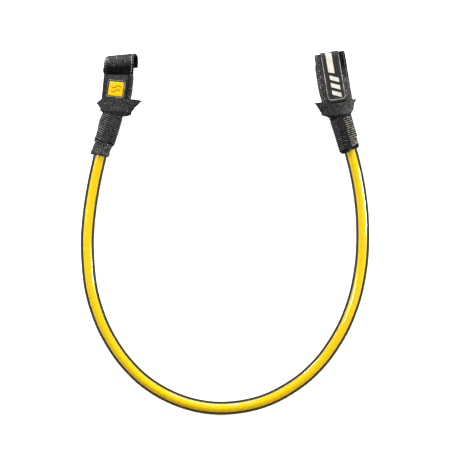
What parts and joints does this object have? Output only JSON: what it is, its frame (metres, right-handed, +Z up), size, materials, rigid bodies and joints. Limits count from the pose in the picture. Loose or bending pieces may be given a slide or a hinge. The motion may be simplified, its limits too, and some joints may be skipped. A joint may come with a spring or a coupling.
{
  "type": "harness line",
  "caption": "U-shaped line of yellow rope in a clear flexible tube, with a sewn black webbing boom strap, collar and hook-and-loop flap at each end.",
  "frame": {"origin": "on the surface that the line lies on, under the middle of the box round the two end terminals, the cord left out", "axes": "+X across the U from the left terminal to the right one, +Y from the bend of the U towards the straps, +Z up out of the surface"},
  "size_m": [0.2366, 0.2991, 0.0227],
  "materials": {
    "nylon_webbing": "matt black woven nylon",
    "bartack_thread": "dense black zigzag stitching",
    "hook_and_loop": "matt black pile and hooks",
    "badge_rubber": "dark grey moulded rubber, satin",
    "badge_frame_rubber": "pale grey moulded rubber, satin",
    "badge_yellow": "saturated yellow, satin",
    "clear_tube": "clear flexible plastic, glossy",
    "yellow_rope": "braided yellow rope",
    "whipping_twine": "waxed twine"
  },
  "bodies": {
    "line": {"left_bartack_back_inner": "bartack_thread", "left_bartack_back_outer": "bartack_thread", "left_bartack_front_inner": "bartack_thread", "left_bartack_front_outer": "bartack_thread", "left_collar_back_ply": "nylon_webbing", "left_collar_front_band": "nylon_webbing", "left_neck_back_ply": "nylon_webbing", "left_neck_front_ply": "nylon_webbing", "left_neck_sleeve": "nylon_webbing", "left_rope_whipping": "whipping_twine", "left_strap_root": "nylon_webbing", "right_bartack_back_inner": "bartack_thread", "right_bartack_back_outer": "bartack_thread", "right_bartack_front_inner": "bartack_thread", "right_bartack_front_outer": "bartack_thread", "right_collar_back_ply": "nylon_webbing", "right_collar_front_band": "nylon_webbing", "right_neck_back_ply": "nylon_webbing", "right_neck_front_ply": "nylon_webbing", "right_neck_sleeve": "nylon_webbing", "right_rope_whipping": "whipping_twine", "right_strap_root": "nylon_webbing", "rope": "yellow_rope", "tube": "clear_tube"},
    "left_flap": {"left_flap_loop_patch": "hook_and_loop", "left_front_flap": "nylon_webbing", "left_badge_base": "badge_frame_rubber", "left_badge_frame": "badge_frame_rubber", "left_badge_insert": "badge_yellow"},
    "left_strap": {"left_boom_strap": "nylon_webbing", "left_grip_badge": "badge_rubber", "left_strap_hook_patch": "hook_and_loop"},
    "left_tail": {"left_strap_tail": "nylon_webbing"},
    "right_flap": {"right_flap_loop_patch": "hook_and_loop", "right_front_flap": "nylon_webbing", "right_badge_base": "badge_frame_rubber", "right_badge_frame": "badge_frame_rubber", "right_badge_insert": "badge_yellow"},
    "right_strap": {"right_boom_strap": "nylon_webbing", "right_grip_badge": "badge_rubber", "right_strap_hook_patch": "hook_and_loop"},
    "right_tail": {"right_strap_tail": "nylon_webbing"}
  },
  "joints": [
    {"name": "left_flap_open", "type": "hinge", "parent": "line", "child": "left_flap", "pos_m": [-0.09276, 0.00386, 0.01665], "axis": [0.8708, -0.0821, 0.4848], "range_deg": [0, 100], "stiffness_Nm_per_rad": 0.002},
    {"name": "left_strap_flex", "type": "hinge", "parent": "line", "child": "left_strap", "pos_m": [-0.08649, -0.0003, 0.00468], "axis": [-0.8708, 0.0821, -0.4848], "range_deg": [0, 45], "stiffness_Nm_per_rad": 0.01},
    {"name": "left_tail_uncurl", "type": "hinge", "parent": "left_strap", "child": "left_tail", "pos_m": [-0.08623, 0.03938, 0.01093], "axis": [0.9186, 0.0326, 0.3939], "range_deg": [0, 80], "stiffness_Nm_per_rad": 0.004},
    {"name": "right_flap_open", "type": "hinge", "parent": "line", "child": "right_flap", "pos_m": [0.09067, 0.00349, 0.00167], "axis": [-0.9869, -0.1616, 0], "range_deg": [0, 100], "stiffness_Nm_per_rad": 0.002},
    {"name": "right_strap_flex", "type": "hinge", "parent": "line", "child": "right_strap", "pos_m": [0.09122, 0.00011, 0.01539], "axis": [0.9869, 0.1616, 0], "range_deg": [0, 45], "stiffness_Nm_per_rad": 0.01},
    {"name": "right_tail_uncurl", "type": "hinge", "parent": "right_strap", "child": "right_tail", "pos_m": [0.08441, 0.0417, 0.00517], "axis": [0.9869, 0.1616, 0], "range_deg": [0, 80], "stiffness_Nm_per_rad": 0.004}
  ]
}
